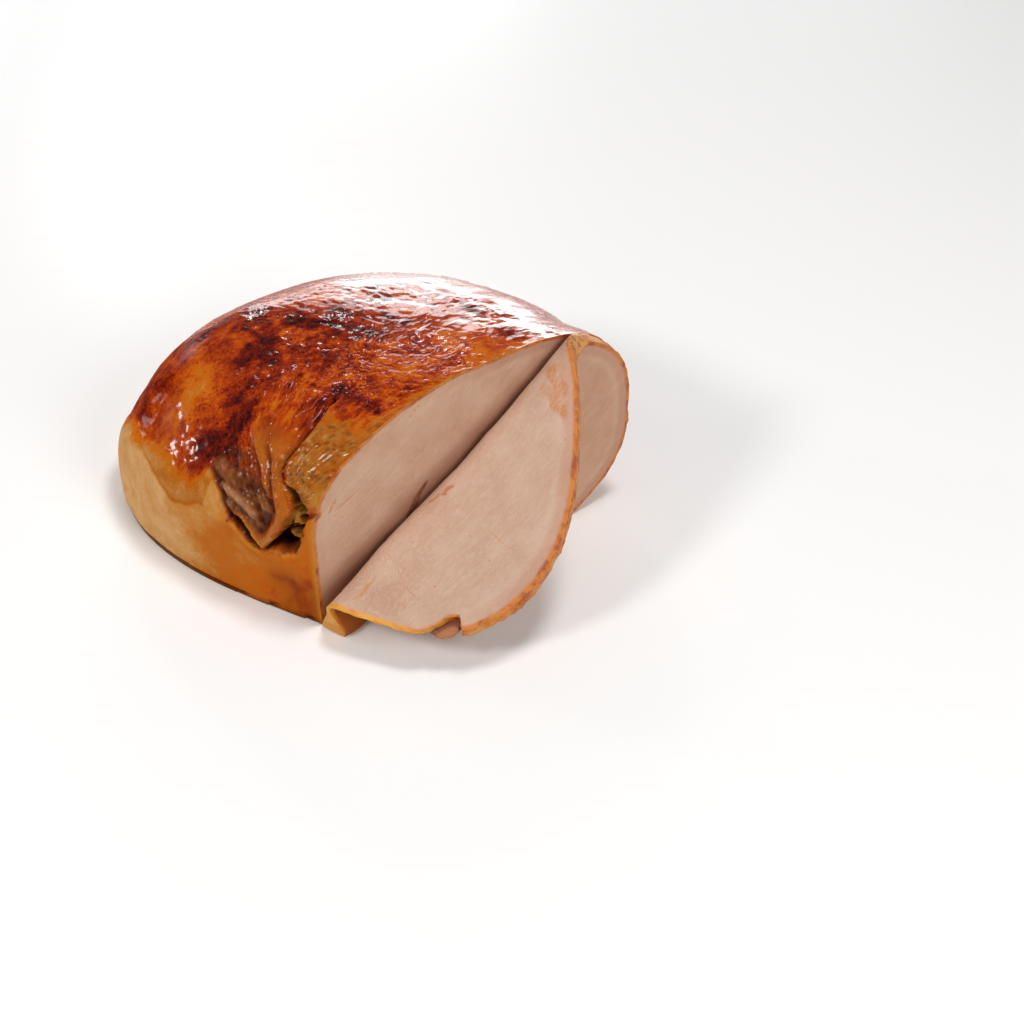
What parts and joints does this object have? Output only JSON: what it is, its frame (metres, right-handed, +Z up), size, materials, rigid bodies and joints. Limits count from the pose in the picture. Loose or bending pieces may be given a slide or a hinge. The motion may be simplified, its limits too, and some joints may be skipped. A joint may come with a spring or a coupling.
{
  "type": "turkey breast roast",
  "caption": "Boneless roasted turkey breast with browned skin, cut across, its first slice folded forward and still attached at the foot.",
  "frame": {"origin": "centre of the bounding box, at the flat base", "axes": "+X out of the cut face, along the length of the breast, +Y across the cut face from its near bottom corner, +Z up"},
  "size_m": [0.2266, 0.2012, 0.103],
  "materials": {
    "roast": "glossy browned skin over pale cooked meat, amber to mahogany",
    "slice": "moist pale cooked meat with a thin browned edge"
  },
  "bodies": {
    "root": {"roast": "roast", "slice": "slice"}
  },
  "joints": []
}
